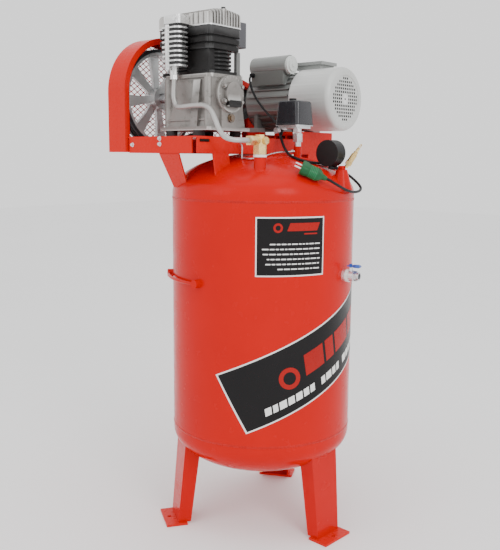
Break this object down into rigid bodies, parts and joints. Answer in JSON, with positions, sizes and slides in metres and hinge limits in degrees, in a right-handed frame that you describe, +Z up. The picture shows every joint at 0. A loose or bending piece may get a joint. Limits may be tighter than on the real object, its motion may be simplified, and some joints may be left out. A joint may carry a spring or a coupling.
{
  "type": "vertical tank air compressor",
  "caption": "Upright air receiver on channel legs with a belt-driven piston pump, guarded flywheel, electric motor, pressure switch, gauge and valves on top.",
  "frame": {"origin": "tank axis at the floor, centre of the foot bolt circle", "axes": "+Z up the tank, +X along the crank and motor axes towards the motor's fan cover, +Y from the pump towards the motor"},
  "size_m": [0.5892, 0.592, 1.396],
  "materials": {
    "red_paint": "gloss enamel",
    "aluminium": "sand cast",
    "alu_bright": "machined",
    "black_iron": "cast, black enamel",
    "steel": "machined",
    "grey_paint": "satin enamel",
    "shield_paint": "satin enamel",
    "cover_paint": "satin silver",
    "light_plastic": "satin",
    "charcoal_plastic": "gloss",
    "black_plastic": "satin",
    "black_rubber": "matte",
    "green_plastic": "satin",
    "brass": "machined",
    "zinc": "zinc plated",
    "blue_lever": "dipped",
    "white_plate": "printed",
    "amber_glass": "clear"
  },
  "bodies": {
    "frame": {"tank_shell": "red_paint", "tank_head_top": "red_paint", "tank_head_bottom": "red_paint", "leg_a": "red_paint", "leg_b": "red_paint", "leg_c": "red_paint", "foot_plates": "red_paint", "deck": "red_paint", "deck_struts": "red_paint", "motor_rails": "red_paint", "guard_inner": "red_paint", "guard_rim": "red_paint", "guard_mesh": "red_paint", "grab_bar": "red_paint", "crankcase": "aluminium", "front_cover": "aluminium", "sight_glass": "amber_glass", "pump_feet": "black_rubber", "cylinder_block": "black_iron", "valve_plate": "alu_bright", "cylinder_head": "aluminium", "pump_bolts": "black_iron", "aftercooler": "aluminium", "air_filter": "charcoal_plastic", "breather_pipe": "shield_paint", "delivery_pipe": "alu_bright", "v_belt": "black_rubber", "motor_body": "grey_paint", "end_shield": "shield_paint", "fan_cover": "cover_paint", "capacitor_box": "grey_paint", "capacitor_cap": "light_plastic", "terminal_box": "grey_paint", "check_valve": "brass", "unloader_tube": "zinc", "switch_riser": "zinc", "switch_base": "zinc", "switch_cover": "charcoal_plastic", "motor_cable": "black_rubber", "gauge_stub": "red_paint", "gauge_case": "black_plastic", "gauge_dial": "white_plate", "safety_valve": "brass", "outlet_valve": "brass", "drain_valve": "brass", "mains_cord": "black_rubber", "mains_plug": "green_plastic"},
    "crank": {"crankshaft": "steel", "flywheel": "aluminium"},
    "rotor": {"motor_shaft": "steel", "motor_pulley": "black_iron", "motor_fan": "black_plastic"},
    "piston_front": {"pistons_front": "alu_bright"},
    "piston_rear": {"pistons_rear": "alu_bright"},
    "outlet_lever": {"outlet_lever": "blue_lever"},
    "switch_knob": {"switch_knob": "charcoal_plastic"},
    "needle": {"gauge_needle": "black_plastic"},
    "relief_ring": {"safety_ring": "brass"},
    "check_disc": {"check_disc": "black_plastic"},
    "drain_knob": {"drain_knob": "brass"}
  },
  "joints": [
    {"name": "crank_spin", "type": "hinge", "parent": "frame", "child": "crank", "pos_m": [-0.258, -0.153, 1.179], "axis": [1, 0, 0], "continuous": true},
    {"name": "motor_spin", "type": "hinge", "parent": "frame", "child": "rotor", "pos_m": [-0.258, 0.196, 1.183], "axis": [1, 0, 0], "continuous": true},
    {"name": "piston_front_slide", "type": "slide", "parent": "frame", "child": "piston_front", "axis": [0, 0, 1], "range_m": [-0.022, 0.022]},
    {"name": "piston_rear_slide", "type": "slide", "parent": "frame", "child": "piston_rear", "axis": [0, 0, 1], "range_m": [-0.022, 0.022]},
    {"name": "outlet_turn", "type": "hinge", "parent": "frame", "child": "outlet_lever", "pos_m": [0.26866, 0.03776, 0.715], "axis": [0, 0, 1], "range_deg": [0, 90]},
    {"name": "switch_pull", "type": "slide", "parent": "frame", "child": "switch_knob", "axis": [0, 0, 1], "range_m": [0, 0.006]},
    {"name": "needle_turn", "type": "hinge", "parent": "frame", "child": "needle", "pos_m": [0.206, 0.025, 1.032], "axis": [0, 1, 0], "range_deg": [0, 270], "stiffness_Nm_per_rad": 0.001},
    {"name": "relief_pull", "type": "slide", "parent": "frame", "child": "relief_ring", "axis": [0.563, 0.1094, 0.8192], "range_m": [0, 0.003], "stiffness_N_per_m": 4000, "springref_m": -0.001},
    {"name": "check_lift", "type": "slide", "parent": "frame", "child": "check_disc", "axis": [0, 0, 1], "range_m": [0, 0.003], "stiffness_N_per_m": 200, "springref_m": -0.002},
    {"name": "drain_turn", "type": "hinge", "parent": "frame", "child": "drain_knob", "pos_m": [0, 0, 0.13], "axis": [0, 0, 1], "range_deg": [0, 90]}
  ],
  "couplings": [
    {"joint": "motor_spin", "follows": "crank_spin", "ratio": 3.0706},
    {"joint": "piston_rear_slide", "follows": "piston_front_slide", "ratio": -1}
  ]
}
